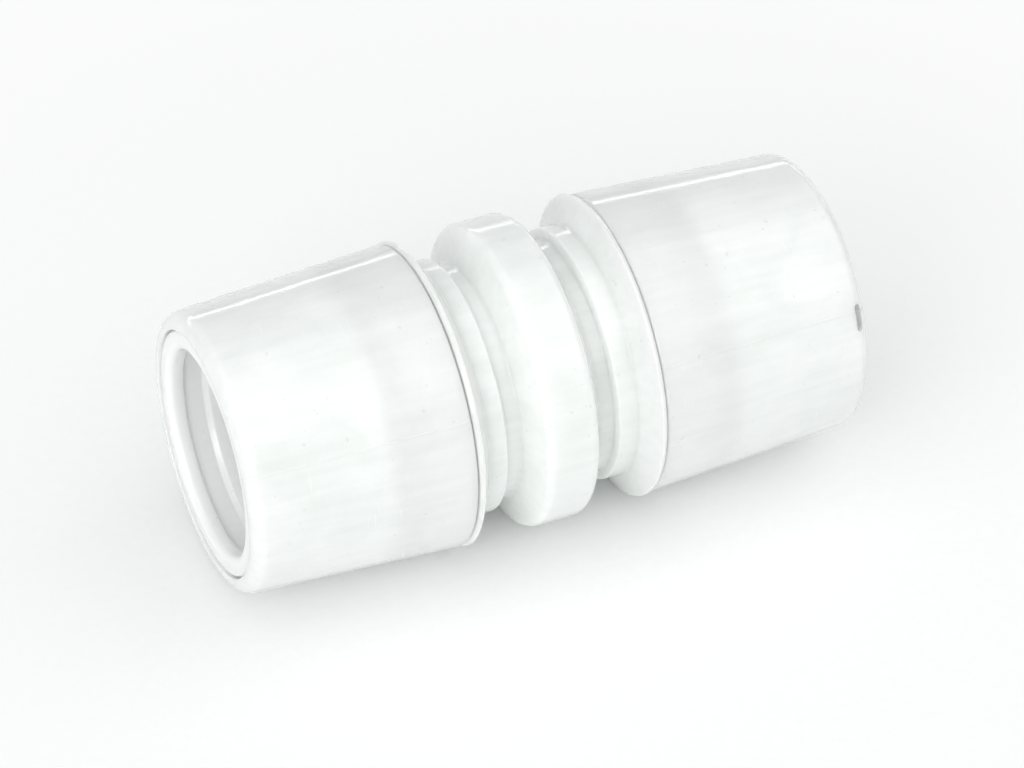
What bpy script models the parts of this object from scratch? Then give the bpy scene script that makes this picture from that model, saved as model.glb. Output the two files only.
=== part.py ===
"""A straight push fit coupling for two 22 mm pipes, lying along X with its centre at the origin.

One moulded body carries the central grip ring, a neck and a flared collar on each side, and a threaded
socket sleeve beyond each collar. A tapered cap is screwed home over each sleeve, and a quarter turn back
unlocks it. Inside a cap sit a collet with eight stainless teeth, a thrust washer and a seal ring. Both
ends are the same set of pieces: the left one is the right one turned half a turn about Z, so both threads
are right-handed.

Profiles are lists of (x, radius, corner radius), in metres, for the right-hand end.
"""

import math

import bmesh
import bpy
from mathutils import Matrix, Vector

MM = 0.001

# Driving dimensions
PIPE_RADIUS = 11.0 * MM
HALF_LENGTH = 35.0 * MM
COLLAR_RADIUS = 16.7 * MM
BORE_RADIUS = PIPE_RADIUS + 0.15 * MM
SEGMENTS = 32

# Corner radii of the turned profiles
CORNER_STEPS = 3
BEVELLED_UP_TO = 0.35 * MM
FINE_EDGE = 0.15 * MM
EDGE = 0.2 * MM
SOFT_EDGE = 0.3 * MM
RING_ROUNDING = 1.0 * MM
RING_FOOT_ROUNDING = 0.5 * MM
MOUTH_ROUNDING = 1.6 * MM

# Central ring, neck and shoulder of the body
STOP_RADIUS = PIPE_RADIUS - 1.1 * MM
STOP_HALF_WIDTH = 1.2 * MM
RING_RADIUS = COLLAR_RADIUS - 0.1 * MM
RING_HALF_WIDTH = 2.7 * MM
RING_FOOT = 4.4 * MM
NECK_RADIUS = 12.8 * MM
SHOULDER_RADIUS = 13.8 * MM
SHOULDER_START = 6.1 * MM
SHOULDER_STEP = 0.25 * MM
FLARE_START = 8.5 * MM
COLLAR_EDGE = 10.1 * MM
COLLAR_FACE = 10.6 * MM
COLLAR_BEVEL = 0.25 * MM

# Threaded socket sleeve of the body
SLEEVE_RADIUS = 14.2 * MM
SLEEVE_END = 17.6 * MM
PILOT_RADIUS = 14.9 * MM
PILOT_END = 11.9 * MM
PILOT_TAPER = 0.7 * MM
SEAL_CHAMBER_RADIUS = 13.2 * MM
SEAL_CHAMBER_FLOOR = 12.2 * MM

# Quarter-turn locking thread
TURNS_TO_LOCK = 0.25
LOCK_TRAVEL = 0.4 * MM
PITCH = LOCK_TRAVEL / TURNS_TO_LOCK
SLEEVE_CREST = SLEEVE_RADIUS + 0.55 * MM
CAP_BORE_RADIUS = 15.05 * MM
CAP_CREST = CAP_BORE_RADIUS - 0.6 * MM
THREAD_ROOT_WIDTH = 1.0 * MM
THREAD_CREST_WIDTH = 0.5 * MM
THREAD_OVERLAP = 0.25 * MM
SLEEVE_THREAD_START = 13.2 * MM
SLEEVE_THREAD_TURNS = 2.0
CAP_THREAD_TURNS = 1.25
THREAD_RUN_OUT = 0.125
THREAD_END_HEIGHT = 0.55

# Cap
SEAM_GAP = 0.15 * MM
CAP_START = COLLAR_FACE + SEAM_GAP
CAP_START_RADIUS = COLLAR_RADIUS - 0.25 * MM
CAP_MOUTH_RADIUS = 15.15 * MM
RECESS_RADIUS = 13.4 * MM
RECESS_FLOOR = HALF_LENGTH - 3.5 * MM
THROAT_RADIUS = 12.65 * MM
CONE_OUTER_END = 29.6 * MM
CONE_INNER_END = 26.0 * MM
FINGER_CHAMBER_RADIUS = 13.6 * MM
PUSH_FACE = 19.2 * MM
SLOT_LENGTH = 3.0 * MM
SLOT_WIDTH = 0.7 * MM
SLOT_X = HALF_LENGTH - 1.1 * MM
SLOT_ANGLE = math.radians(65)

# Thrust washer and seal ring
WASHER_START = SEAL_CHAMBER_FLOOR + 2.75 * MM
WASHER_RADIUS = SEAL_CHAMBER_RADIUS - 0.1 * MM
WASHER_BORE = BORE_RADIUS + 0.15 * MM
WASHER_FLANGE_RADIUS = 14.6 * MM
WASHER_FLANGE_START = SLEEVE_END + 0.65 * MM
WASHER_END = PUSH_FACE - 0.05 * MM
SEAL_CORD_RADIUS = 1.15 * MM
SEAL_CENTRE_RADIUS = SEAL_CHAMBER_RADIUS - 0.1 * MM - SEAL_CORD_RADIUS
SEAL_X = SEAL_CHAMBER_FLOOR + 0.15 * MM + SEAL_CORD_RADIUS
SEAL_SIDES = 10

# Collet and its teeth
FINGERS = 8
COLLET_FACE = HALF_LENGTH - 0.25 * MM
COLLET_FLANGE_BACK = COLLET_FACE - 1.2 * MM
COLLET_FLANGE_RADIUS = RECESS_RADIUS - 0.15 * MM
COLLET_TUBE_RADIUS = THROAT_RADIUS - 0.2 * MM
HEAD_CONE_START = 28.4 * MM
HEAD_FRONT = 25.6 * MM
HEAD_BACK = 23.4 * MM
HEAD_RADIUS = 13.35 * MM
COLLET_END = 22.2 * MM
COLLET_END_RADIUS = 12.6 * MM
LEAD_IN = 0.8 * MM
NUB_WIDTH = 1.3 * MM
NUB_DEPTH = 1.0 * MM
NUB_INSET = 0.1 * MM
NUB_ANGLE = math.radians(15)
FINGER_SLOT_WIDTH = 0.8 * MM
FINGER_SLOT_END = 28.2 * MM
RELIEF_RADIUS = BORE_RADIUS + 0.35 * MM
MOUTH_RELIEF = (33.0 * MM, 30.2 * MM)
FINGER_ROOT_RELIEF = (28.4 * MM, 26.5 * MM)
RELIEF_RUN_IN = 0.3 * MM
RELIEF_RUN_OUT = 0.6 * MM
TOOTH_TIP_RADIUS = PIPE_RADIUS - 0.1 * MM
TOOTH_TOP_RADIUS = HEAD_RADIUS - 0.45 * MM
TOOTH_TIP_X = 23.9 * MM
TOOTH_LEAN = math.radians(30)
TOOTH_THICKNESS = 0.35 * MM
TOOTH_WIDTH = 3.2 * MM
TOOTH_CLEARANCE = 0.08 * MM

# How far a cutter reaches past the wall that it cuts
CUT_MARGIN = 1.0 * MM

# Colours are linear RGB
NATURAL_POLYMER = ("natural_polymer", (0.86, 0.88, 0.86), 0.28, 0.0)
CAP_POLYMER = ("cap_polymer", (0.88, 0.90, 0.88), 0.25, 0.0)
COLLET_POLYMER = ("collet_polymer", (0.82, 0.84, 0.82), 0.32, 0.0)
WASHER_POLYMER = ("washer_polymer", (0.76, 0.78, 0.77), 0.40, 0.0)
SILICONE = ("silicone", (0.72, 0.75, 0.73), 0.50, 0.0)
STAINLESS = ("stainless", (0.62, 0.63, 0.64), 0.25, 1.0)


def clear_scene():
    for obj in list(bpy.data.objects):
        bpy.data.objects.remove(obj, do_unlink=True)


def material(spec):
    name, colour, roughness, metallic = spec
    made = bpy.data.materials.get(name) or bpy.data.materials.new(name)
    made.use_nodes = True
    shader = made.node_tree.nodes["Principled BSDF"]
    shader.inputs["Base Color"].default_value = (*colour, 1.0)
    shader.inputs["Roughness"].default_value = roughness
    shader.inputs["Metallic"].default_value = metallic
    return made


def rounded(corners):
    """The closed outline through these (x, radius, corner radius) points.

    A corner up to BEVELLED_UP_TO is one flat bevel, and a larger one is an arc.
    """
    outline = []
    for i, (x, r, fillet) in enumerate(corners):
        here = Vector((x, r))
        if fillet == 0:
            outline.append(here)
            continue
        before = Vector(corners[i - 1][:2]) - here
        after = Vector(corners[(i + 1) % len(corners)][:2]) - here
        half_angle = before.angle(after) / 2
        reach = fillet / math.tan(half_angle)
        bisector = (before.normalized() + after.normalized()).normalized()
        centre = here + bisector * (fillet / math.sin(half_angle))
        start = here + before.normalized() * reach - centre
        end = here + after.normalized() * reach - centre
        sweep = math.atan2(start.cross(end), start.dot(end))
        steps = CORNER_STEPS if fillet > BEVELLED_UP_TO else 1
        for step in range(steps + 1):
            outline.append(centre + Matrix.Rotation(sweep * step / steps, 2) @ start)
    return outline


def on_circle(x, radius, angle):
    return Vector((x, radius * math.cos(angle), radius * math.sin(angle)))


def turned_mesh(name, outline):
    """The ring made by turning a closed (x, radius) outline about X. It has a flat at its bottom."""
    bm = bmesh.new()
    ring = [bm.verts.new(on_circle(point[0], point[1], math.pi / SEGMENTS)) for point in outline]
    edges = [bm.edges.new((ring[i - 1], ring[i])) for i in range(len(ring))]
    bmesh.ops.spin(
        bm, geom=ring + edges, cent=(0, 0, 0), axis=(1, 0, 0), angle=math.tau, steps=SEGMENTS, use_merge=True
    )
    bmesh.ops.remove_doubles(bm, verts=bm.verts, dist=1e-6)
    bmesh.ops.recalc_face_normals(bm, faces=bm.faces)
    mesh = bpy.data.meshes.new(name)
    bm.to_mesh(mesh)
    bm.free()
    return mesh


def box_mesh(name, boxes):
    """Boxes given as (size, matrix) pairs, all in one mesh."""
    bm = bmesh.new()
    for size, matrix in boxes:
        bmesh.ops.create_cube(bm, size=1.0, matrix=matrix @ Matrix.Diagonal((*size, 1.0)))
    mesh = bpy.data.meshes.new(name)
    bm.to_mesh(mesh)
    bm.free()
    return mesh


def thread_mesh(name, start_x, turns, root, crest):
    """A right-handed ridge along a helix about X, whose height fades in and out over its ends."""
    bm = bmesh.new()
    steps = round(turns * SEGMENTS)
    sections = []
    for step in range(steps + 1):
        turn = step / SEGMENTS
        fade = min(1.0, turn / THREAD_RUN_OUT, (turns - turn) / THREAD_RUN_OUT)
        height = root + (crest - root) * (THREAD_END_HEIGHT + (1 - THREAD_END_HEIGHT) * fade)
        x = start_x + PITCH * turn
        angle = math.tau * turn
        corners = (
            (x - THREAD_ROOT_WIDTH / 2, root),
            (x - THREAD_CREST_WIDTH / 2, height),
            (x + THREAD_CREST_WIDTH / 2, height),
            (x + THREAD_ROOT_WIDTH / 2, root),
        )
        sections.append([bm.verts.new(on_circle(cx, cr, angle)) for cx, cr in corners])
    for one, two in zip(sections, sections[1:]):
        for k in range(len(one)):
            bm.faces.new((one[k - 1], one[k], two[k], two[k - 1]))
    bm.faces.new(sections[0])
    bm.faces.new(sections[-1])
    bmesh.ops.recalc_face_normals(bm, faces=bm.faces)
    mesh = bpy.data.meshes.new(name)
    bm.to_mesh(mesh)
    bm.free()
    return mesh


def place(name, mesh, parent=None):
    obj = bpy.data.objects.new(name, mesh)
    bpy.context.scene.collection.objects.link(obj)
    obj.parent = parent
    return obj


def finish(obj, spec):
    if not obj.data.materials:
        obj.data.materials.append(material(spec))
    obj.data.shade_smooth()
    obj.data.set_sharp_from_angle(angle=math.radians(35))
    return obj


def boolean(obj, helper, operation):
    helper.hide_render = True
    helper.display_type = "WIRE"
    modifier = obj.modifiers.new(helper.name, "BOOLEAN")
    modifier.operation = operation
    modifier.object = helper
    modifier.solver = "EXACT"


def body_outline():
    """The body's section from the left sleeve's mouth to the right one's: outside first, then the bore."""
    outside = [
        (RING_HALF_WIDTH, RING_RADIUS, RING_ROUNDING),
        (RING_FOOT, NECK_RADIUS, RING_FOOT_ROUNDING),
        (SHOULDER_START, NECK_RADIUS, 0),
        (SHOULDER_START + SHOULDER_STEP, SHOULDER_RADIUS, 0),
        (FLARE_START, SHOULDER_RADIUS, 0),
        (COLLAR_EDGE, COLLAR_RADIUS, 0),
        (COLLAR_FACE, COLLAR_RADIUS - COLLAR_BEVEL, 0),
        (COLLAR_FACE, PILOT_RADIUS, 0),
        (PILOT_END, PILOT_RADIUS, 0),
        (PILOT_END + PILOT_TAPER, SLEEVE_RADIUS, 0),
        (SLEEVE_END, SLEEVE_RADIUS, SOFT_EDGE),
    ]
    inside = [
        (SLEEVE_END, SEAL_CHAMBER_RADIUS, EDGE),
        (SEAL_CHAMBER_FLOOR, SEAL_CHAMBER_RADIUS, 0),
        (SEAL_CHAMBER_FLOOR, BORE_RADIUS, SOFT_EDGE),
        (STOP_HALF_WIDTH, BORE_RADIUS, 0),
        (STOP_HALF_WIDTH, STOP_RADIUS, SOFT_EDGE),
    ]
    right = outside + inside
    left = [(-x, r, fillet) for x, r, fillet in reversed(right)]
    return rounded(right + left)


def cap_outline():
    return rounded([
        (CAP_START, CAP_BORE_RADIUS, EDGE),
        (CAP_START, CAP_START_RADIUS, SOFT_EDGE),
        (HALF_LENGTH, CAP_MOUTH_RADIUS, MOUTH_ROUNDING),
        (HALF_LENGTH, RECESS_RADIUS, FINE_EDGE),
        (RECESS_FLOOR, RECESS_RADIUS, 0),
        (RECESS_FLOOR, THROAT_RADIUS, EDGE),
        (CONE_OUTER_END, THROAT_RADIUS, 0),
        (CONE_INNER_END, FINGER_CHAMBER_RADIUS, 0),
        (PUSH_FACE, FINGER_CHAMBER_RADIUS, EDGE),
        (PUSH_FACE, CAP_BORE_RADIUS, 0),
    ])


def relief(high, low):
    """A shallow groove in the collet's bore, from its end nearer the mouth to its sloping inner end."""
    return [
        (high, BORE_RADIUS, 0),
        (high - RELIEF_RUN_IN, RELIEF_RADIUS, 0),
        (low + RELIEF_RUN_OUT, RELIEF_RADIUS, 0),
        (low, BORE_RADIUS, 0),
    ]


def collet_outline():
    corners = [
        (COLLET_END, BORE_RADIUS, SOFT_EDGE),
        (COLLET_END, COLLET_END_RADIUS, EDGE),
        (HEAD_BACK, HEAD_RADIUS, 0),
        (HEAD_FRONT, HEAD_RADIUS, 0),
        (HEAD_CONE_START, COLLET_TUBE_RADIUS, 0),
        (COLLET_FLANGE_BACK, COLLET_TUBE_RADIUS, 0),
        (COLLET_FLANGE_BACK, COLLET_FLANGE_RADIUS, FINE_EDGE),
        (COLLET_FACE, COLLET_FLANGE_RADIUS, SOFT_EDGE),
        (COLLET_FACE, BORE_RADIUS, LEAD_IN),
    ]
    return rounded(corners + relief(*MOUTH_RELIEF) + relief(*FINGER_ROOT_RELIEF))


def washer_outline():
    return rounded([
        (WASHER_START, WASHER_BORE, EDGE),
        (WASHER_START, WASHER_RADIUS, EDGE),
        (WASHER_FLANGE_START, WASHER_RADIUS, 0),
        (WASHER_FLANGE_START, WASHER_FLANGE_RADIUS, FINE_EDGE),
        (WASHER_END, WASHER_FLANGE_RADIUS, FINE_EDGE),
        (WASHER_END, WASHER_BORE, EDGE),
    ])


def seal_outline():
    angles = [math.tau * i / SEAL_SIDES for i in range(SEAL_SIDES)]
    return [
        (SEAL_X + SEAL_CORD_RADIUS * math.cos(a), SEAL_CENTRE_RADIUS + SEAL_CORD_RADIUS * math.sin(a))
        for a in angles
    ]


def around_x(angle):
    return Matrix.Rotation(angle, 4, "X")


def tooth_frame(angle, clearance=0.0):
    """(size, matrix) of the blade at this angle about X. Its tip leans towards the coupling's centre."""
    middle_radius = (TOOTH_TIP_RADIUS + TOOTH_TOP_RADIUS) / 2
    rise = TOOTH_TOP_RADIUS - TOOTH_TIP_RADIUS
    middle_x = TOOTH_TIP_X + rise / 2 * math.tan(TOOTH_LEAN)
    size = (
        TOOTH_THICKNESS + 2 * clearance,
        TOOTH_WIDTH + 2 * clearance,
        rise / math.cos(TOOTH_LEAN) + 2 * clearance,
    )
    middle = Matrix.Translation((middle_x, 0, middle_radius))
    return size, around_x(angle) @ middle @ Matrix.Rotation(TOOTH_LEAN, 4, "Y")


def finger_angles():
    return [math.tau * i / FINGERS for i in range(FINGERS)]


def finger_slots():
    """The gaps between fingers, halfway between the teeth, open at the collet's inner end."""
    length = FINGER_SLOT_END - COLLET_END + CUT_MARGIN
    middle = Matrix.Translation((FINGER_SLOT_END - length / 2, 0, HEAD_RADIUS))
    size = (length, FINGER_SLOT_WIDTH, 2 * (HEAD_RADIUS - BORE_RADIUS + CUT_MARGIN))
    return [(size, around_x(angle + math.pi / FINGERS) @ middle) for angle in finger_angles()]


def gate_nub():
    """The small stub left by the moulding gate, in the collet's rounded lead-in."""
    x = COLLET_FACE - NUB_INSET - NUB_DEPTH / 2
    middle = Matrix.Translation((x, 0, BORE_RADIUS + NUB_INSET + NUB_DEPTH / 2))
    return [((NUB_DEPTH, NUB_WIDTH, NUB_DEPTH), around_x(NUB_ANGLE) @ middle)]


def rim_slot():
    """The small slot through the cap's rounded rim."""
    depth = CAP_MOUTH_RADIUS - RECESS_RADIUS + 2 * CUT_MARGIN
    middle = Matrix.Translation((SLOT_X, 0, (CAP_MOUTH_RADIUS + RECESS_RADIUS) / 2))
    return [((SLOT_WIDTH, SLOT_LENGTH, depth), around_x(SLOT_ANGLE) @ middle)]


def build_body():
    body = place("body", turned_mesh("body", body_outline()))
    root = SLEEVE_RADIUS - THREAD_OVERLAP
    ridge = thread_mesh("sleeve_thread", SLEEVE_THREAD_START, SLEEVE_THREAD_TURNS, root, SLEEVE_CREST)
    for side, turn in (("right", 0.0), ("left", math.pi)):
        helper = place(f"sleeve_thread_{side}", ridge)
        helper.rotation_euler = (0, 0, turn)
        boolean(body, helper, "UNION")
    finish(body, NATURAL_POLYMER)


def build_end(side, turn, meshes):
    """One end's loose pieces, on an empty at the coupling's centre that is turned to that end."""
    end = place(f"{side}_end", None)
    end.rotation_euler = (0, 0, turn)

    cap = place(f"cap_{side}", meshes["cap"], end)
    boolean(cap, place(f"cap_thread_{side}", meshes["cap_thread"], end), "UNION")
    boolean(cap, place(f"rim_slot_{side}", meshes["rim_slot"], end), "DIFFERENCE")
    finish(cap, CAP_POLYMER)

    collet = place(f"collet_{side}", meshes["collet"], end)
    boolean(collet, place(f"finger_slots_{side}", meshes["finger_slots"], end), "DIFFERENCE")
    boolean(collet, place(f"tooth_pockets_{side}", meshes["tooth_pockets"], end), "DIFFERENCE")
    boolean(collet, place(f"gate_nub_{side}", meshes["gate_nub"], end), "UNION")
    finish(collet, COLLET_POLYMER)

    finish(place(f"thrust_washer_{side}", meshes["washer"], end), WASHER_POLYMER)
    finish(place(f"seal_ring_{side}", meshes["seal"], end), SILICONE)

    for number, angle in enumerate(finger_angles(), start=1):
        tooth = place(f"collet_tooth_{side}_{number}", meshes["tooth"], end)
        tooth.rotation_euler = (angle, 0, 0)
        finish(tooth, STAINLESS)


def shared_meshes():
    pockets = [tooth_frame(angle, TOOTH_CLEARANCE) for angle in finger_angles()]
    cap_thread_start = SLEEVE_THREAD_START + PITCH / 2
    cap_root = CAP_BORE_RADIUS + THREAD_OVERLAP
    return {
        "cap": turned_mesh("cap", cap_outline()),
        "cap_thread": thread_mesh("cap_thread", cap_thread_start, CAP_THREAD_TURNS, cap_root, CAP_CREST),
        "rim_slot": box_mesh("rim_slot", rim_slot()),
        "collet": turned_mesh("collet", collet_outline()),
        "finger_slots": box_mesh("finger_slots", finger_slots()),
        "tooth_pockets": box_mesh("tooth_pockets", pockets),
        "gate_nub": box_mesh("gate_nub", gate_nub()),
        "tooth": box_mesh("tooth", [tooth_frame(0.0)]),
        "washer": turned_mesh("thrust_washer", washer_outline()),
        "seal": turned_mesh("seal_ring", seal_outline()),
    }


def main():
    clear_scene()
    build_body()
    meshes = shared_meshes()
    build_end("right", 0.0, meshes)
    build_end("left", math.pi, meshes)


main()
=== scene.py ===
"""A milky push fit coupling for two 22 mm pipes, lying on its side on a pale studio floor.

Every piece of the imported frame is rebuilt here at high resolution, with a procedural material, and rides on
its CAD body. The right-hand end is modelled, and the left-hand end is the same shapes turned half a turn
about Z. Outlines are lists of (x, radius, corner radius), in millimetres until they become meshes.
"""

import math

import bmesh
import bpy
import numpy as np
from mathutils import Matrix, Vector


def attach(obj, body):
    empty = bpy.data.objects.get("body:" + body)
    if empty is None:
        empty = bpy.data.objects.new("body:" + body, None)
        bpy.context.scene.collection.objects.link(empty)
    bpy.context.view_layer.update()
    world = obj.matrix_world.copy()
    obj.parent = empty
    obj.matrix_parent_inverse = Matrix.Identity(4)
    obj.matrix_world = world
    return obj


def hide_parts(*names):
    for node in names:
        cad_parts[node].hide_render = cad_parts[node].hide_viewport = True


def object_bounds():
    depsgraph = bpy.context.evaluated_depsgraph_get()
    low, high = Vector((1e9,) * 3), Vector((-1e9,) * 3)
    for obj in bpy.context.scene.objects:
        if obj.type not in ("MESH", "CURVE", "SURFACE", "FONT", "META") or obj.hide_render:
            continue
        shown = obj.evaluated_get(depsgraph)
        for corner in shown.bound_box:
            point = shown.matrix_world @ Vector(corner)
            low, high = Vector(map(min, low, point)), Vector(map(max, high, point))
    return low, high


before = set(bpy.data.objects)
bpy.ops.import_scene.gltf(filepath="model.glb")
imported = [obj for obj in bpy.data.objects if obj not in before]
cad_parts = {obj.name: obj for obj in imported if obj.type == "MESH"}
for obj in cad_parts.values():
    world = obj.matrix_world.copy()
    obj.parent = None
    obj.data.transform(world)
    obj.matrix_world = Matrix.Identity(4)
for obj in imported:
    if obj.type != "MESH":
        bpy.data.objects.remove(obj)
CAD_LOW, CAD_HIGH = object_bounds()

MM = 0.001
ROUNDING = 1e-6
SEGMENTS = 144
ARC_STEP = math.radians(16)
SHARP_ANGLE = math.radians(38)
NORMAL_WEIGHT = 60

# Body, in mm
BORE_RADIUS = 11.15
HALF_LENGTH = 35.0
STOP_RADIUS = 9.9
STOP_HALF_WIDTH = 1.2
RING_RADIUS = 16.6
RING_HALF_WIDTH = 2.7
RING_FOOT = 4.4
NECK_RADIUS = 12.8
SHOULDER_RADIUS = 13.8
SHOULDER_START = 6.1
SHOULDER_SLOPE = 0.3
FLARE_START = 8.5
COLLAR_EDGE = 10.1
COLLAR_FACE = 10.6
COLLAR_RADIUS = 16.7
COLLAR_CHAMFER = 0.25
SLEEVE_RADIUS = 14.2
SLEEVE_END = 17.6
PILOT_RADIUS = 14.9
PILOT_END = 11.9
PILOT_TAPER = 0.7
CHAMBER_RADIUS = 13.2
CHAMBER_FLOOR = 12.2

# Thread, in mm and turns. Its rows are the extra circles of points that its ridge is raised from.
PITCH = 1.6
SLEEVE_CREST = 14.75
CAP_BORE = 15.05
CAP_CREST = 14.45
THREAD_ROOT_WIDTH = 1.0
THREAD_CREST_WIDTH = 0.5
SLEEVE_THREAD_START = 13.2
SLEEVE_THREAD_TURNS = 2.0
CAP_THREAD_START = SLEEVE_THREAD_START + PITCH / 2
CAP_THREAD_TURNS = 1.25
THREAD_RUN_OUT = 0.125
ROW_STEP = 0.17
ROW_CLEARANCE = 0.05
ROWS_BEFORE_THREAD = 0.6
SLEEVE_PLAIN_END = 0.4
CAP_ROWS_LENGTH = 3.4

# Cap, in mm
CAP_START = 10.75
CAP_START_RADIUS = 16.45
CAP_MOUTH_RADIUS = 15.15
RECESS_RADIUS = 13.4
RECESS_FLOOR = 31.5
THROAT_RADIUS = 12.65
CONE_OUTER_END = 29.6
CONE_INNER_END = 26.0
FINGER_CHAMBER_RADIUS = 13.6
PUSH_FACE = 19.2
RIM_SLOT_X = 33.9
RIM_SLOT_ANGLE = math.radians(65)
RIM_SLOT_HALF_LENGTH = 1.5
RIM_SLOT_HALF_WIDTH = 0.36
RIM_SLOT_CUT = (12.9, 17.5)
PARTING_ANGLE = math.radians(152)

# Collet, in mm
COLLET_FACE = 34.75
COLLET_FLANGE_BACK = 33.55
COLLET_FLANGE_RADIUS = 13.25
COLLET_TUBE_RADIUS = 12.45
HEAD_CONE_START = 28.4
HEAD_FRONT = 25.6
HEAD_BACK = 23.4
HEAD_RADIUS = 13.35
COLLET_END = 22.2
COLLET_END_RADIUS = 12.6
LEAD_IN = 0.8
FINGERS = 8
FINGER_SLOT_WIDTH = 0.8
FINGER_SLOT_END = 28.2
FINGER_SLOT_CUT = (9, 15)
RELIEF_RADIUS = BORE_RADIUS + 0.35
MOUTH_RELIEF = (33.0, 30.2)
FINGER_ROOT_RELIEF = (28.4, 26.5)
RELIEF_RUN_IN = 0.3
RELIEF_RUN_OUT = 0.6
NUB_ANGLE = math.radians(15)
NUB_X = 34.2
NUB_HEIGHT = 11.78
NUB_RADII = (0.5, 0.62, 0.56)

# Teeth, in mm. Rows, notch and edge are shares of the blade's height and thickness.
TOOTH_TIP_RADIUS = 10.9
TOOTH_TOP_RADIUS = 12.9
TOOTH_RISE = TOOTH_TOP_RADIUS - TOOTH_TIP_RADIUS
TOOTH_TIP_X = 23.9
TOOTH_LEAN = math.radians(30)
TOOTH_THICKNESS = 0.32
TOOTH_HALF_WIDTH = 1.58
TOOTH_POINTS = 4
COLUMNS_PER_POINT = 4
TOOTH_ROWS = (0.0, 0.12, 0.3, 0.94, 1.0)
TOOTH_NOTCH = 0.10
TOOTH_EDGE = 0.25
TOOTH_CORNER = 0.1
POCKET_LENGTH = 0.46
POCKET_WIDTH = 3.36
POCKET_ROOM = 0.2

# Thrust washer and seal, in mm
WASHER_START = 14.95
WASHER_RADIUS = 13.1
WASHER_BORE = 11.3
WASHER_FLANGE_START = 18.25
WASHER_FLANGE_RADIUS = 14.6
WASHER_END = 19.15
SEAL_X = 13.5
SEAL_CENTRE_RADIUS = 11.95
SEAL_CORD_RADIUS = 1.15
SEAL_STEPS = 28
SEAL_FLASH = 0.04
SEAL_FLASH_SHARPNESS = 24

# Colours, each with the one that it clouds into
BARREL_COLOURS = ((0.84, 0.854, 0.845, 1), (0.775, 0.795, 0.782, 1))
COLLET_COLOURS = ((0.955, 0.96, 0.956, 1), (0.93, 0.94, 0.933, 1))
WASHER_COLOURS = ((0.78, 0.80, 0.79, 1), (0.70, 0.73, 0.71, 1))
SILICONE_COLOURS = ((0.70, 0.73, 0.71, 1), (0.60, 0.63, 0.61, 1))
STEEL_COLOURS = ((0.66, 0.66, 0.65, 1), (0.52, 0.53, 0.54, 1))
FLOOR_COLOURS = ((0.93, 0.93, 0.93, 1), (0.915, 0.918, 0.918, 1))
SPECK_DARKNESS = 0.86
# Most of a noise's values lie between these two.
NOISE_LOW, NOISE_HIGH = 0.3, 0.7
# Patterns unrolled from the axis are at their true scale at this radius, in mm.
UNROLL_RADIUS = 15.0
# Each piece's pattern is moved by its seed, and those of the second end by one step more.
BODY_SEED = 3.0
WASHER_SEED = 31.0
CAP_SEED = 47.0
COLLET_SEED = 83.0
SEED_STEP = 19

# Studio, in metres, with the camera's lens and sensor in mm.
# A light is (name, place, what it faces, (width, height), watts).
CAMERA_TURN = math.radians(23.3)
CAMERA_RISE = math.radians(40)
CAMERA_DISTANCE = 0.52
CAMERA_TARGET = (0, 0, -0.002)
CAMERA_LENS = 172
CAMERA_SENSOR = 36
TENT_HORIZON = (0.84, 0.87, 0.85, 1)
TENT_OVERHEAD = (0.95, 0.96, 0.96, 1)
TENT_OVERHEAD_FROM = 0.6
TENT_FRONT_STRENGTH = 0.69
TENT_BACK_STRENGTH = 0.45
LIGHTS = (
    ("overhead", (0, -0.30, 0.5), (0, -0.30, 0), (1.4, 0.9), 3.1),
    ("rim_strip", (0.3, 0.8, 0.13), (0, 0, 0), (1.8, 0.05), 1.1),
    ("front_fill", (-1.0, -0.75, 0.55), (-0.02, 0, 0), (0.8, 0.6), 5.6),
)
BACKDROP = (0.97, 0.975, 0.972, 1)
FLOOR_HALF_WIDTH = 3.0
FLOOR_FADE_START = 0.02
FLOOR_FADE_END = 0.12
MAX_BOUNCES = 16
DIFFUSE_BOUNCES = 10


# ---------------------------------------------------------------- shapes


def rounded(corners):
    """The closed outline through these (x, radius, corner radius) points, with an arc at each corner."""
    outline = []
    for i, (x, r, fillet) in enumerate(corners):
        here = Vector((x, r))
        before = Vector(corners[i - 1][:2]) - here
        after = Vector(corners[(i + 1) % len(corners)][:2]) - here
        half_angle = before.angle(after) / 2
        reach = fillet / math.tan(half_angle)
        bisector = (before.normalized() + after.normalized()).normalized()
        centre = here + bisector * (fillet / math.sin(half_angle))
        start = here + before.normalized() * reach - centre
        end = here + after.normalized() * reach - centre
        sweep = math.atan2(start.cross(end), start.dot(end))
        steps = max(3, math.ceil(abs(sweep) / ARC_STEP))
        outline += [centre + Matrix.Rotation(sweep * k / steps, 2) @ start for k in range(steps + 1)]
    return np.array([tuple(point) for point in outline])


def at_radius(r, radius):
    """Whether each radius is this one, within rounding."""
    return np.abs(r - radius) < ROUNDING


def with_rows(outline, radius, low, high):
    """The outline with extra points where it runs at this radius, between low and high in x, for a thread."""
    dense = []
    for i, (x, r) in enumerate(outline):
        dense.append((x, r))
        next_x, next_r = outline[(i + 1) % len(outline)]
        if not (at_radius(r, radius) and at_radius(next_r, radius)):
            continue
        rows = np.arange(low, high, ROW_STEP)
        if next_x < x:
            rows = rows[::-1]
        inside = (rows > min(x, next_x) + ROW_CLEARANCE) & (rows < max(x, next_x) - ROW_CLEARANCE)
        dense += [(row, radius) for row in rows[inside]]
    return np.array(dense)


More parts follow.
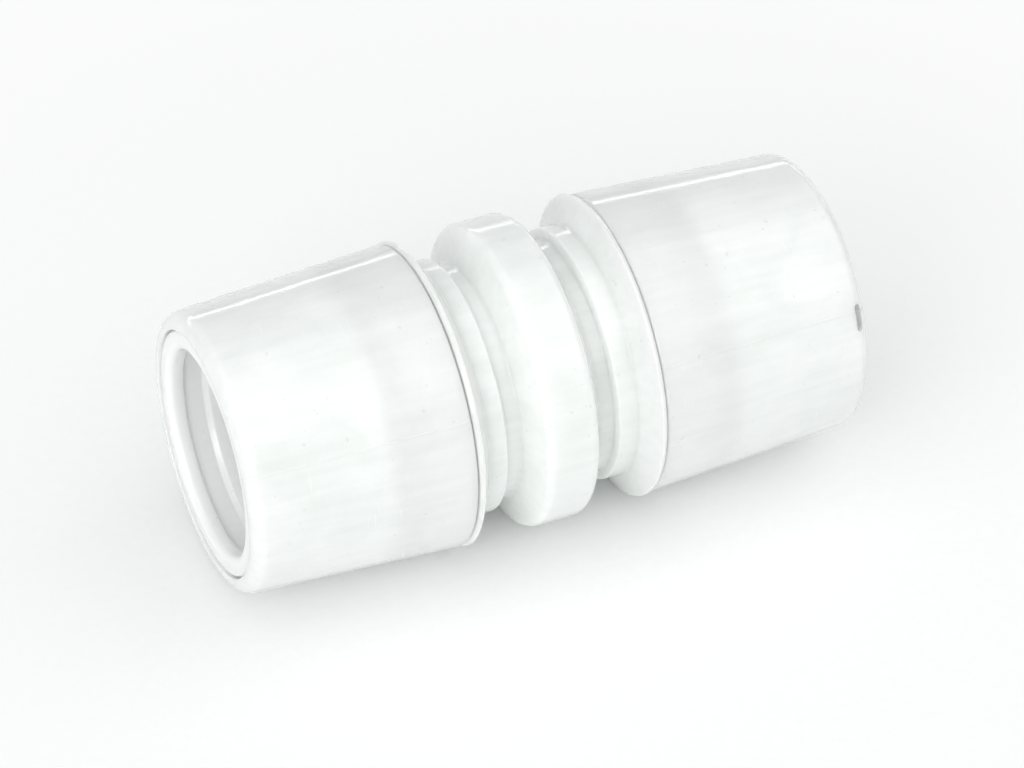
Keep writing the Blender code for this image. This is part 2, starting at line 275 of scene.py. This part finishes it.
def ridge(x, angle, start, turns):
    """How far, from 0 to 1, a right-handed thread stands at these places."""
    turn = angle / math.tau
    phase = (np.abs(x) - start) / PITCH - turn
    nearest = np.round(phase)
    off_centre = np.abs(phase - nearest) * PITCH
    flank = (THREAD_ROOT_WIDTH / 2 - off_centre) / ((THREAD_ROOT_WIDTH - THREAD_CREST_WIDTH) / 2)
    along = nearest + turn
    fade = np.minimum(along, turns - along) / THREAD_RUN_OUT
    return np.clip(flank, 0, 1) * np.clip(fade, 0, 1)


def sleeve_thread(x, r, angle):
    """The body's sleeves with their outer thread. On the left sleeve the angle runs the other way about X."""
    turned = np.where(x > 0, angle, (math.pi - angle) % math.tau)
    lift = ridge(x, turned, SLEEVE_THREAD_START, SLEEVE_THREAD_TURNS) * (SLEEVE_CREST - SLEEVE_RADIUS)
    return np.where(at_radius(r, SLEEVE_RADIUS), r + lift, r)


def cap_thread(x, r, angle):
    """The right-hand cap's bore with its inner thread."""
    lift = ridge(x, angle, CAP_THREAD_START, CAP_THREAD_TURNS) * (CAP_BORE - CAP_CREST)
    return np.where(at_radius(r, CAP_BORE), r - lift, r)


def lathe(name, outline, thread=None):
    """The ring made by turning a closed outline about X. thread(x, radius, angle) gives the raised radius."""
    angles = (np.arange(SEGMENTS) + 0.5) * math.tau / SEGMENTS
    x = np.repeat(outline[:, :1], SEGMENTS, axis=1)
    r = np.repeat(outline[:, 1:], SEGMENTS, axis=1)
    angle = np.repeat(angles[None, :], len(outline), axis=0)
    if thread:
        r = thread(x, r, angle)
    points = np.stack([x, r * np.cos(angle), r * np.sin(angle)], axis=-1).reshape(-1, 3) * MM
    index = np.arange(len(points)).reshape(len(outline), SEGMENTS)
    up, across = np.roll(index, -1, axis=0), np.roll(index, -1, axis=1)
    faces = np.stack([index, across, np.roll(up, -1, axis=1), up], axis=-1).reshape(-1, 4)
    return mesh_of(name, points.tolist(), faces.tolist())


def mesh_of(name, points, faces):
    """A mesh with its faces turned outwards."""
    bm = bmesh.new()
    verts = [bm.verts.new(point) for point in points]
    for face in faces:
        bm.faces.new([verts[i] for i in face])
    bmesh.ops.recalc_face_normals(bm, faces=bm.faces)
    return mesh_from(name, bm)


def mesh_from(name, bm):
    mesh = bpy.data.meshes.new(name)
    bm.to_mesh(mesh)
    bm.free()
    return mesh


def prism(name, outline, low, high):
    """A solid between two heights in z, with this closed (x, y) outline. All in mm."""
    n = len(outline)
    points = [(x * MM, y * MM, z * MM) for z in (low, high) for x, y in outline]
    sides = [(i, (i + 1) % n, n + (i + 1) % n, n + i) for i in range(n)]
    return mesh_of(name, points, [tuple(range(n)), tuple(range(n, 2 * n))] + sides)


def round_end(x, half_width, direction):
    """Half a circle that bulges along x in this direction, anticlockwise in (x, y)."""
    turns = [math.pi * k / 8 for k in range(9)]
    return [
        (x + direction * half_width * math.sin(turn), -direction * half_width * math.cos(turn))
        for turn in turns
    ]


def around_x(angle):
    return Matrix.Rotation(angle, 4, "X")


def add(name, mesh, matrix=Matrix.Identity(4)):
    mesh = mesh.copy()
    mesh.transform(matrix)
    obj = bpy.data.objects.new(name, mesh)
    bpy.context.scene.collection.objects.link(obj)
    return obj


def carve(obj, cutters, operation="DIFFERENCE"):
    """Cuts each (mesh, matrix) out of the object, or joins it on, and keeps the result as its mesh."""
    helpers = [add("helper", mesh, matrix) for mesh, matrix in cutters]
    for helper in helpers:
        modifier = obj.modifiers.new("carve", "BOOLEAN")
        modifier.operation = operation
        modifier.solver = "EXACT"
        modifier.object = helper
    bpy.context.view_layer.update()
    evaluated = obj.evaluated_get(bpy.context.evaluated_depsgraph_get())
    result = bpy.data.meshes.new_from_object(evaluated)
    obj.modifiers.clear()
    obj.data = result
    for helper in helpers:
        bpy.data.objects.remove(helper, do_unlink=True)


def shade(obj):
    obj.data.shade_smooth()
    obj.data.set_sharp_from_angle(angle=SHARP_ANGLE)
    weighted = obj.modifiers.new("normals", "WEIGHTED_NORMAL")
    weighted.keep_sharp = True
    weighted.weight = NORMAL_WEIGHT


# ---------------------------------------------------------------- the pieces' shapes


def body_outline():
    outside = [
        (RING_HALF_WIDTH, RING_RADIUS, 1.0),
        (RING_FOOT, NECK_RADIUS, 0.5),
        (SHOULDER_START, NECK_RADIUS, 0.2),
        (SHOULDER_START + SHOULDER_SLOPE, SHOULDER_RADIUS, 0.22),
        (FLARE_START, SHOULDER_RADIUS, 0.35),
        (COLLAR_EDGE, COLLAR_RADIUS, 0.16),
        (COLLAR_FACE, COLLAR_RADIUS - COLLAR_CHAMFER, 0.2),
        (COLLAR_FACE, PILOT_RADIUS, 0.15),
        (PILOT_END, PILOT_RADIUS, 0.2),
        (PILOT_END + PILOT_TAPER, SLEEVE_RADIUS, 0.3),
        (SLEEVE_END, SLEEVE_RADIUS, 0.3),
    ]
    inside = [
        (SLEEVE_END, CHAMBER_RADIUS, 0.25),
        (CHAMBER_FLOOR, CHAMBER_RADIUS, 0.3),
        (CHAMBER_FLOOR, BORE_RADIUS, 0.35),
        (STOP_HALF_WIDTH, BORE_RADIUS, 0.2),
        (STOP_HALF_WIDTH, STOP_RADIUS, 0.35),
    ]
    right = outside + inside
    left = [(-x, r, fillet) for x, r, fillet in reversed(right)]
    outline = rounded(right + left)
    low, high = SLEEVE_THREAD_START - ROWS_BEFORE_THREAD, SLEEVE_END - SLEEVE_PLAIN_END
    outline = with_rows(outline, SLEEVE_RADIUS, low, high)
    return with_rows(outline, SLEEVE_RADIUS, -high, -low)


def cap_outline():
    outline = rounded([
        (CAP_START, CAP_BORE, 0.2),
        (CAP_START, CAP_START_RADIUS, 0.28),
        (HALF_LENGTH, CAP_MOUTH_RADIUS, 1.6),
        (HALF_LENGTH, RECESS_RADIUS, 0.14),
        (RECESS_FLOOR, RECESS_RADIUS, 0.2),
        (RECESS_FLOOR, THROAT_RADIUS, 0.2),
        (CONE_OUTER_END, THROAT_RADIUS, 0.4),
        (CONE_INNER_END, FINGER_CHAMBER_RADIUS, 0.4),
        (PUSH_FACE, FINGER_CHAMBER_RADIUS, 0.2),
        (PUSH_FACE, CAP_BORE, 0.25),
    ])
    low, high = CAP_THREAD_START - ROWS_BEFORE_THREAD, CAP_THREAD_START + CAP_ROWS_LENGTH
    return with_rows(outline, CAP_BORE, low, high)


def rim_slot():
    """The cutter for the round-ended slot through the cap's wall, across its axis."""
    bulge = RIM_SLOT_HALF_LENGTH - RIM_SLOT_HALF_WIDTH
    high = round_end(bulge, RIM_SLOT_HALF_WIDTH, 1)
    low = round_end(-bulge, RIM_SLOT_HALF_WIDTH, -1)
    return prism("rim_slot", [(y, x) for x, y in high + low], *RIM_SLOT_CUT)


def bore_relief(high, low):
    """A shallow groove in the collet's bore, from its end nearer the mouth to its sloping inner end."""
    return [
        (high, BORE_RADIUS, 0.12),
        (high - RELIEF_RUN_IN, RELIEF_RADIUS, 0.2),
        (low + RELIEF_RUN_OUT, RELIEF_RADIUS, 0.3),
        (low, BORE_RADIUS, 0.2),
    ]


def collet_outline():
    corners = [
        (COLLET_END, BORE_RADIUS, 0.3),
        (COLLET_END, COLLET_END_RADIUS, 0.3),
        (HEAD_BACK, HEAD_RADIUS, 0.3),
        (HEAD_FRONT, HEAD_RADIUS, 0.3),
        (HEAD_CONE_START, COLLET_TUBE_RADIUS, 0.6),
        (COLLET_FLANGE_BACK, COLLET_TUBE_RADIUS, 0.25),
        (COLLET_FLANGE_BACK, COLLET_FLANGE_RADIUS, 0.15),
        (COLLET_FACE, COLLET_FLANGE_RADIUS, 0.3),
        (COLLET_FACE, BORE_RADIUS, LEAD_IN),
    ]
    return rounded(corners + bore_relief(*MOUTH_RELIEF) + bore_relief(*FINGER_ROOT_RELIEF))


def finger_slot():
    """The cutter for the gap between two fingers: open at the collet's inner end, round at its root."""
    half_width = FINGER_SLOT_WIDTH / 2
    past_end = COLLET_END - 1
    outline = round_end(FINGER_SLOT_END - half_width, half_width, 1)
    outline += [(past_end, half_width), (past_end, -half_width)]
    return prism("finger_slot", outline, *FINGER_SLOT_CUT)


def finger_angles():
    return [math.tau * i / FINGERS for i in range(FINGERS)]


def gate_nub():
    """The rounded stub that the moulding gate left in the collet's lead-in."""
    bm = bmesh.new()
    radii = [radius * MM for radius in NUB_RADII]
    place = Matrix.Translation((NUB_X * MM, 0, NUB_HEIGHT * MM)) @ Matrix.Diagonal((*radii, 1.0))
    bmesh.ops.create_uvsphere(bm, u_segments=20, v_segments=12, radius=1.0, matrix=place)
    return mesh_from("nub", bm)


def tooth_mesh():
    """A curved steel blade with a row of points at its tip, leaning towards the coupling's centre."""
    columns = TOOTH_POINTS * COLUMNS_PER_POINT
    points = []
    for side in (-0.5, 0.5):
        for row in TOOTH_ROWS:
            at_tip, at_top = row == TOOTH_ROWS[0], row == TOOTH_ROWS[-1]
            for k in range(columns + 1):
                across = k / columns * 2 - 1
                notch = abs((k / COLUMNS_PER_POINT) % 1 * 2 - 1) if at_tip else 0.0
                height = TOOTH_RISE * (row + notch * TOOTH_NOTCH)
                thickness = TOOTH_THICKNESS * (TOOTH_EDGE if at_tip else 1.0)
                r = TOOTH_TIP_RADIUS + height
                x = TOOTH_TIP_X + height * math.tan(TOOTH_LEAN) + side * thickness / math.cos(TOOTH_LEAN)
                angle = across * (TOOTH_HALF_WIDTH - (TOOTH_CORNER if at_top else 0.0)) / r
                points.append((x * MM, r * math.sin(angle) * MM, r * math.cos(angle) * MM))
    wide = columns + 1
    back = wide * len(TOOTH_ROWS)
    faces = []
    for base in (0, back):
        for i in range(len(TOOTH_ROWS) - 1):
            for k in range(columns):
                a = base + i * wide + k
                faces.append((a, a + 1, a + 1 + wide, a + wide))
    for edge in (0, back - wide):
        for k in range(edge, edge + columns):
            faces.append((k, k + 1, back + k + 1, back + k))
    for i in range(len(TOOTH_ROWS) - 1):
        for a in (i * wide, i * wide + columns):
            faces.append((a, a + wide, back + a + wide, back + a))
    return mesh_of("tooth", points, faces)


def tooth_pocket():
    """The room around a tooth: a leaning slab a little larger than the blade."""
    middle_x = TOOTH_TIP_X + TOOTH_RISE / 2 * math.tan(TOOTH_LEAN)
    middle_r = (TOOTH_TIP_RADIUS + TOOTH_TOP_RADIUS) / 2
    height = TOOTH_RISE / math.cos(TOOTH_LEAN) + POCKET_ROOM
    place = Matrix.Translation((middle_x * MM, 0, middle_r * MM)) @ Matrix.Rotation(TOOTH_LEAN, 4, "Y")
    size = Matrix.Diagonal((POCKET_LENGTH * MM, POCKET_WIDTH * MM, height * MM, 1.0))
    bm = bmesh.new()
    bmesh.ops.create_cube(bm, size=1.0, matrix=place @ size)
    return mesh_from("pocket", bm)


def washer_outline():
    return rounded([
        (WASHER_START, WASHER_BORE, 0.2),
        (WASHER_START, WASHER_RADIUS, 0.2),
        (WASHER_FLANGE_START, WASHER_RADIUS, 0.15),
        (WASHER_FLANGE_START, WASHER_FLANGE_RADIUS, 0.2),
        (WASHER_END, WASHER_FLANGE_RADIUS, 0.2),
        (WASHER_END, WASHER_BORE, 0.2),
    ])


def seal_outline():
    """A round cord with a little moulding flash around its widest and narrowest circles."""
    angles = np.arange(SEAL_STEPS) * math.tau / SEAL_STEPS
    flash = SEAL_FLASH * np.cos(angles) ** SEAL_FLASH_SHARPNESS
    cord = SEAL_CORD_RADIUS - SEAL_FLASH + flash
    return np.stack([SEAL_X + cord * np.sin(angles), SEAL_CENTRE_RADIUS + cord * np.cos(angles)], axis=-1)


# ---------------------------------------------------------------- materials


class Nodes:
    """A material's node tree, with short calls for the nodes that this scene uses."""

    def __init__(self, name):
        self.material = bpy.data.materials.new(name)
        self.material.use_nodes = True
        self.tree = self.material.node_tree
        self.shader = self.tree.nodes["Principled BSDF"]
        coordinates = self.tree.nodes.new("ShaderNodeTexCoord")
        self.point = self.vector("SCALE", coordinates.outputs["Object"], scale=1 / MM)
        self.parts = self.add("ShaderNodeSeparateXYZ", Vector=self.point)

    def add(self, kind, **inputs):
        node = self.tree.nodes.new(kind)
        for name, value in inputs.items():
            self.put(node.inputs[name.replace("_", " ")], value)
        return node

    def put(self, socket, value):
        if isinstance(value, bpy.types.NodeSocket):
            self.tree.links.new(value, socket)
        else:
            socket.default_value = value

    def set(self, **inputs):
        for name, value in inputs.items():
            self.put(self.shader.inputs[name.replace("_", " ")], value)

    def math(self, operation, *values):
        node = self.tree.nodes.new("ShaderNodeMath")
        node.operation = operation
        for socket, value in zip(node.inputs, values):
            self.put(socket, value)
        return node.outputs[0]

    def vector(self, operation, *values, scale=None):
        node = self.tree.nodes.new("ShaderNodeVectorMath")
        node.operation = operation
        for socket, value in zip(node.inputs, values):
            self.put(socket, value)
        if scale is not None:
            node.inputs["Scale"].default_value = scale
        return node.outputs["Value"] if operation == "LENGTH" else node.outputs["Vector"]

    def noise(self, scale, detail, roughness=0.5, distortion=0.0, stretch=(1, 1, 1), offset=0.0, at=None):
        """Noise whose scale is in features per mm, stretched by axis."""
        place = self.vector("MULTIPLY", at or self.point, stretch)
        place = self.vector("ADD", place, (offset, offset * 0.7, offset * 1.3))
        node = self.add("ShaderNodeTexNoise", Vector=place, Scale=scale, Detail=detail)
        self.put(node.inputs["Roughness"], roughness)
        self.put(node.inputs["Distortion"], distortion)
        return node.outputs["Fac"]

    def spread(self, value, low, high, to_low=0.0, to_high=1.0):
        """The value's range from low to high, stretched to another range and clamped to it."""
        node = self.add("ShaderNodeMapRange", Value=value)
        node.clamp = True
        for name, number in zip(("From Min", "From Max", "To Min", "To Max"), (low, high, to_low, to_high)):
            node.inputs[name].default_value = number
        return node.outputs["Result"]

    def spread_noise(self, value, to_low, to_high):
        return self.spread(value, NOISE_LOW, NOISE_HIGH, to_low, to_high)

    def blend(self, factor, one, two):
        node = self.tree.nodes.new("ShaderNodeMix")
        node.data_type = "RGBA"
        self.put(node.inputs["Factor"], factor)
        # The mix node keeps one pair of sockets for each data type, all called A and B.
        colour_a, colour_b, colour_out = node.inputs[6], node.inputs[7], node.outputs[2]
        self.put(colour_a, one)
        self.put(colour_b, two)
        return colour_out

    def bump(self, height, distance, strength, after=None):
        """A normal raised by this height, whose distance is in mm, on top of the one before it."""
        node = self.add("ShaderNodeBump", Height=height, Distance=distance * MM, Strength=strength)
        if after is not None:
            self.put(node.inputs["Normal"], after)
        return node.outputs["Normal"]

    def around(self):
        """The point unrolled from the axis, as (x, arc, radius) in mm, and its angle and radius."""
        y, z = self.parts.outputs["Y"], self.parts.outputs["Z"]
        angle = self.math("ARCTAN2", z, y)
        radius = self.math("SQRT", self.math("ADD", self.math("MULTIPLY", y, y), self.math("MULTIPLY", z, z)))
        node = self.add("ShaderNodeCombineXYZ", X=self.parts.outputs["X"])
        self.put(node.inputs["Y"], self.math("MULTIPLY", angle, UNROLL_RADIUS))
        self.put(node.inputs["Z"], radius)
        return node.outputs["Vector"], angle, radius


def milky_plastic(name, colours, seed, gloss=0.18, depth=2.2, parting=None, scuffs=0.0):
    """Natural moulded polymer: cloudy, light-scattering and glossy, with faint flow streaks and scratches.

    gloss is the middle of its roughness, depth is how far light spreads in it in mm, parting is the angle of
    its mould line, and scuffs is how rough its scratches are.
    """
    nodes = Nodes(name)
    unrolled, angle, radius = nodes.around()
    light, dark = colours

    clouds = nodes.noise(0.16, detail=4.0, distortion=0.8, offset=seed)
    streaks = nodes.noise(
        0.9, detail=5.0, roughness=0.6, stretch=(0.09, 1.0, 1.0), offset=seed + 11, at=unrolled
    )
    grain = nodes.noise(5.5, detail=2.0, offset=seed + 23)
    tone = nodes.math("ADD", nodes.math("MULTIPLY", clouds, 0.55), nodes.math("MULTIPLY", streaks, 0.45))
    colour = nodes.blend(nodes.spread(tone, 0.36, 0.64), light, dark)
    specks = nodes.noise(1.4, detail=1.0, offset=seed + 37)
    speck_colour = tuple(channel * SPECK_DARKNESS for channel in dark[:3]) + (1.0,)
    colour = nodes.blend(nodes.spread(specks, 0.735, 0.775, to_high=0.55), colour, speck_colour)

    scratches = nodes.noise(
        2.4, detail=3.0, roughness=0.7, stretch=(3.2, 0.10, 1.0), offset=seed + 53, at=unrolled
    )
    patches = nodes.spread(nodes.noise(0.22, detail=2.0, offset=seed + 71), 0.44, 0.62)
    marks = nodes.math("MULTIPLY", nodes.spread(scratches, 0.60, 0.66), patches)
    roughness = nodes.spread_noise(clouds, gloss - 0.05, gloss + 0.07)
    roughness = nodes.math("ADD", roughness, nodes.math("MULTIPLY", marks, scuffs))
    roughness = nodes.math("ADD", roughness, nodes.spread_noise(grain, -0.02, 0.03))

    waviness = nodes.noise(0.28, detail=2.0, offset=seed + 5)
    normal = nodes.bump(waviness, 0.085, 0.6)
    normal = nodes.bump(streaks, 0.012, 0.5, after=normal)
    normal = nodes.bump(grain, 0.004, 0.5, after=normal)
    if scuffs:
        normal = nodes.bump(marks, -0.006, 0.7, after=normal)
    if parting is not None:
        # A fine raised line along the barrel on opposite sides, where the mould halves met
        off_line = nodes.math("ABSOLUTE", nodes.math("SINE", nodes.math("SUBTRACT", angle, parting)))
        off_line = nodes.math("MULTIPLY", off_line, radius)
        line = nodes.math("SUBTRACT", 1.0, nodes.spread(off_line, 0.03, 0.14))
        normal = nodes.bump(line, 0.05, 0.9, after=normal)

    nodes.set(
        Base_Color=colour,
        Roughness=roughness,
        IOR=1.51,
        Normal=normal,
        Subsurface_Weight=1.0,
        Subsurface_Radius=(1.0, 1.0, 1.0),
        Subsurface_Scale=depth * MM,
        Subsurface_Anisotropy=0.35,
        Coat_Weight=0.25,
        Coat_Roughness=0.06,
        Coat_IOR=1.5,
    )
    return nodes.material


def silicone():
    """Pale satin rubber with a dusty surface."""
    nodes = Nodes("pale_silicone")
    clouds = nodes.noise(0.35, detail=3.0)
    dust = nodes.noise(9.0, detail=2.0)
    nodes.set(
        Base_Color=nodes.blend(nodes.spread(clouds, NOISE_LOW, NOISE_HIGH), *SILICONE_COLOURS),
        Roughness=nodes.spread_noise(dust, 0.38, 0.56),
        IOR=1.41,
        Normal=nodes.bump(dust, 0.008, 0.8),
        Subsurface_Weight=0.9,
        Subsurface_Radius=(0.95, 1.0, 0.96),
        Subsurface_Scale=1.4 * MM,
    )
    return nodes.material


def stainless():
    """Strip steel, brushed around the coupling and a little stained."""
    nodes = Nodes("stamped_stainless")
    unrolled, _, _ = nodes.around()
    brushed = nodes.noise(3.0, detail=4.0, roughness=0.7, stretch=(6.0, 0.35, 6.0), at=unrolled)
    stain = nodes.noise(0.8, detail=2.0, offset=9.0)
    nodes.set(
        Base_Color=nodes.blend(nodes.spread(stain, 0.35, 0.65), *STEEL_COLOURS),
        Metallic=1.0,
        Roughness=nodes.spread_noise(brushed, 0.16, 0.36),
        Normal=nodes.bump(brushed, 0.006, 0.7),
    )
    return nodes.material


def floor_material():
    """Matt white paper that the camera sees turn into the backdrop away from the coupling."""
    nodes = Nodes("floor_white")
    paper = nodes.noise(0.9, detail=4.0)
    nodes.set(
        Base_Color=nodes.blend(nodes.spread(paper, 0.35, 0.65), *FLOOR_COLOURS),
        Roughness=0.62,
        Normal=nodes.bump(paper, 0.01, 0.2),
        Specular_IOR_Level=0.2,
    )
    distance = nodes.vector("LENGTH", nodes.point)
    faded = nodes.spread(distance, FLOOR_FADE_START / MM, FLOOR_FADE_END / MM)
    seen = nodes.add("ShaderNodeLightPath").outputs["Is Camera Ray"]
    backdrop = nodes.add("ShaderNodeEmission", Color=BACKDROP)
    mixed = nodes.add("ShaderNodeMixShader", Fac=nodes.math("MULTIPLY", faded, seen))
    nodes.tree.links.new(nodes.shader.outputs["BSDF"], mixed.inputs[1])
    nodes.tree.links.new(backdrop.outputs["Emission"], mixed.inputs[2])
    nodes.tree.links.new(mixed.outputs["Shader"], nodes.tree.nodes["Material Output"].inputs["Surface"])
    return nodes.material


# ---------------------------------------------------------------- building


def dress(obj, body, node, material):
    """Gives a finished piece its material and its place in the frame."""
    obj.data.materials.clear()
    obj.data.materials.append(material)
    shade(obj)
    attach(obj, body)
    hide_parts(node)


def build_body(material):
    body = add("coupling_body", lathe("body", body_outline(), sleeve_thread))
    dress(body, "fitting", "body", material)


def build_cap(side, end, material):
    cap = add(f"{side}_cap", lathe("cap", cap_outline(), cap_thread), end)
    slot_place = around_x(RIM_SLOT_ANGLE) @ Matrix.Translation((RIM_SLOT_X * MM, 0, 0))
    carve(cap, [(rim_slot(), end @ slot_place)])
    dress(cap, f"cap_{side}", f"cap_{side}", material)


def build_collet(side, end, material):
    collet = add(f"{side}_collet", lathe("collet", collet_outline()), end)
    slot, pocket = finger_slot(), tooth_pocket()
    carve(collet, [(slot, end @ around_x(angle + math.pi / FINGERS)) for angle in finger_angles()])
    carve(collet, [(pocket, end @ around_x(angle)) for angle in finger_angles()])
    carve(collet, [(gate_nub(), end @ around_x(NUB_ANGLE))], "UNION")
    dress(collet, f"collet_{side}", f"collet_{side}", material)


def build_washer_and_seal(side, end, plastic, rubber):
    washer = add(f"{side}_thrust_washer", lathe("washer", washer_outline()), end)
    dress(washer, f"washer_{side}", f"thrust_washer_{side}", plastic)
    seal = add(f"{side}_seal_ring", lathe("seal", seal_outline()), end)
    dress(seal, "fitting", f"seal_ring_{side}", rubber)


def build_teeth(side, end, material):
    blade = tooth_mesh()
    for number, angle in enumerate(finger_angles(), start=1):
        tooth = add(f"{side}_tooth_{number}", blade, end @ around_x(angle))
        dress(tooth, f"collet_{side}", f"collet_tooth_{side}_{number}", material)


def build_coupling():
    """The body, then each end's pieces. end turns the right-hand end's shapes to that end."""
    build_body(milky_plastic("body_plastic", BARREL_COLOURS, BODY_SEED))
    washer_plastic = milky_plastic("washer_plastic", WASHER_COLOURS, WASHER_SEED, gloss=0.36, depth=1.2)
    rubber, steel = silicone(), stainless()
    ends = (("right", Matrix.Identity(4)), ("left", Matrix.Rotation(math.pi, 4, "Z")))
    for number, (side, end) in enumerate(ends):
        shift = SEED_STEP * number
        cap_plastic = milky_plastic(
            f"{side}_cap_plastic",
            BARREL_COLOURS,
            CAP_SEED + shift,
            gloss=0.15,
            parting=PARTING_ANGLE,
            scuffs=0.16,
        )
        collet_plastic = milky_plastic(
            f"{side}_collet_plastic", COLLET_COLOURS, COLLET_SEED + shift, depth=1.2
        )
        build_cap(side, end, cap_plastic)
        build_collet(side, end, collet_plastic)
        build_washer_and_seal(side, end, washer_plastic, rubber)
        build_teeth(side, end, steel)


# ---------------------------------------------------------------- studio


def area_light(name, location, target, size, watts):
    data = bpy.data.lights.new(name, "AREA")
    data.shape = "RECTANGLE"
    data.size, data.size_y = size
    data.energy = watts
    light = bpy.data.objects.new(name, data)
    bpy.context.scene.collection.objects.link(light)
    light.location = location
    light.rotation_euler = (Vector(target) - Vector(location)).to_track_quat("-Z", "Y").to_euler()


def studio_world():
    """A light tent: a little darker at the horizon than overhead, and brighter in front than behind.

    The camera sees the plain backdrop instead of the tent.
    """
    world = bpy.data.worlds.new("light_tent")
    world.use_nodes = True
    tree = world.node_tree
    tent = tree.nodes["Background"]
    coordinates = tree.nodes.new("ShaderNodeTexCoord")
    direction = tree.nodes.new("ShaderNodeSeparateXYZ")
    tone = tree.nodes.new("ShaderNodeValToRGB")
    strength = tree.nodes.new("ShaderNodeMapRange")
    tree.links.new(coordinates.outputs["Generated"], direction.inputs["Vector"])
    tree.links.new(direction.outputs["Z"], tone.inputs["Fac"])
    tree.links.new(direction.outputs["Y"], strength.inputs["Value"])
    tree.links.new(tone.outputs["Color"], tent.inputs["Color"])
    tree.links.new(strength.outputs["Result"], tent.inputs["Strength"])
    horizon, overhead = tone.color_ramp.elements
    horizon.position, overhead.position = 0.0, TENT_OVERHEAD_FROM
    horizon.color, overhead.color = TENT_HORIZON, TENT_OVERHEAD
    strength.inputs["From Min"].default_value = -1.0
    strength.inputs["To Min"].default_value = TENT_FRONT_STRENGTH
    strength.inputs["To Max"].default_value = TENT_BACK_STRENGTH

    backdrop = tree.nodes.new("ShaderNodeBackground")
    backdrop.inputs["Color"].default_value = BACKDROP
    light_path = tree.nodes.new("ShaderNodeLightPath")
    mixed = tree.nodes.new("ShaderNodeMixShader")
    tree.links.new(light_path.outputs["Is Camera Ray"], mixed.inputs["Fac"])
    tree.links.new(tent.outputs["Background"], mixed.inputs[1])
    tree.links.new(backdrop.outputs["Background"], mixed.inputs[2])
    tree.links.new(mixed.outputs["Shader"], tree.nodes["World Output"].inputs["Surface"])
    bpy.context.scene.world = world


def build_floor():
    """A floor under the lowest point of the CAD model."""
    half = FLOOR_HALF_WIDTH
    corners = [(-half, -half, 0), (half, -half, 0), (half, half, 0), (-half, half, 0)]
    floor = add("floor", mesh_of("floor", corners, [(0, 1, 2, 3)]), Matrix.Translation((0, 0, CAD_LOW[2])))
    floor.data.materials.append(floor_material())


def build_camera():
    direction = Vector((
        -math.sin(CAMERA_TURN) * math.cos(CAMERA_RISE),
        -math.cos(CAMERA_TURN) * math.cos(CAMERA_RISE),
        math.sin(CAMERA_RISE),
    ))
    data = bpy.data.cameras.new("camera")
    data.lens = CAMERA_LENS
    data.sensor_width = CAMERA_SENSOR
    camera = bpy.data.objects.new("camera", data)
    bpy.context.scene.collection.objects.link(camera)
    camera.location = Vector(CAMERA_TARGET) + direction * CAMERA_DISTANCE
    camera.rotation_euler = (-direction).to_track_quat("-Z", "Y").to_euler()
    bpy.context.scene.camera = camera


def build_studio():
    build_floor()
    studio_world()
    for light in LIGHTS:
        area_light(*light)
    build_camera()
    # White walls light one another many times over, most of all inside the bore and in the seams.
    bpy.context.scene.cycles.max_bounces = MAX_BOUNCES
    bpy.context.scene.cycles.diffuse_bounces = DIFFUSE_BOUNCES
    bpy.context.scene.view_settings.view_transform = "Standard"


build_coupling()
build_studio()
